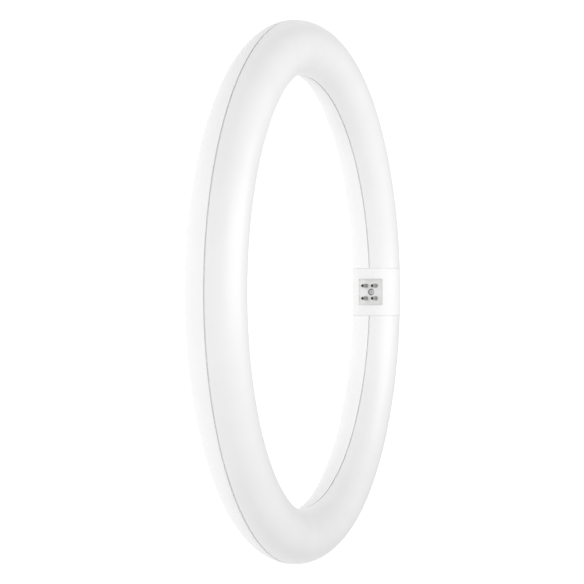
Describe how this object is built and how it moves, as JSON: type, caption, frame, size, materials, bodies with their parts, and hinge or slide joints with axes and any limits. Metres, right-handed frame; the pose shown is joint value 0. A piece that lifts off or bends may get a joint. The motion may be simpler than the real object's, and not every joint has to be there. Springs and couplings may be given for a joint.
{
  "type": "circular led tube",
  "caption": "Ring-shaped LED retrofit tube: opal front half, white rear half, and a clamped pin base facing the ring's centre, with the LED board and driver inside",
  "frame": {"origin": "the ring's centre, on the plane where the front and rear halves meet", "axes": "+Z is the ring's axis, out of the lit front half; +X runs from the ring's centre to the pin base; the pins point along -X"},
  "size_m": [0.2991, 0.299, 0.0302],
  "materials": {
    "opal_plastic": "satin opal polycarbonate",
    "white_plastic": "satin white polycarbonate",
    "base_plastic": "satin white moulding",
    "board_aluminium": "white solder mask on aluminium",
    "led_package": "white package with yellow phosphor",
    "plated_steel": "zinc plated",
    "pin_metal": "nickel plated",
    "circuit_board": "green solder mask",
    "black_moulding": "black epoxy",
    "capacitor_box": "dipped film capacitor",
    "capacitor_can": "sleeved can",
    "ferrite": "ferrite drum with its winding",
    "lead_insulation": "insulated wire"
  },
  "bodies": {
    "root": {"front_diffuser": "opal_plastic", "rear_housing": "white_plastic", "led_board": "board_aluminium", "leds": "led_package", "board_screws": "plated_steel", "driver_board": "circuit_board", "input_fuse": "black_moulding", "bridge_rectifier": "black_moulding", "input_capacitor": "capacitor_box", "choke_coil": "ferrite", "driver_chip": "black_moulding", "bulk_capacitor": "capacitor_can", "base_inner_shell": "base_plastic", "base_outer_shell": "base_plastic", "base_screw": "plated_steel", "contact_pin_1": "pin_metal", "contact_pin_2": "pin_metal", "contact_pin_3": "pin_metal", "contact_pin_4": "pin_metal", "pin_lead_1": "lead_insulation", "pin_lead_2": "lead_insulation", "pin_jumper": "pin_metal", "output_link_minus": "pin_metal", "output_link_plus": "pin_metal"}
  },
  "joints": []
}
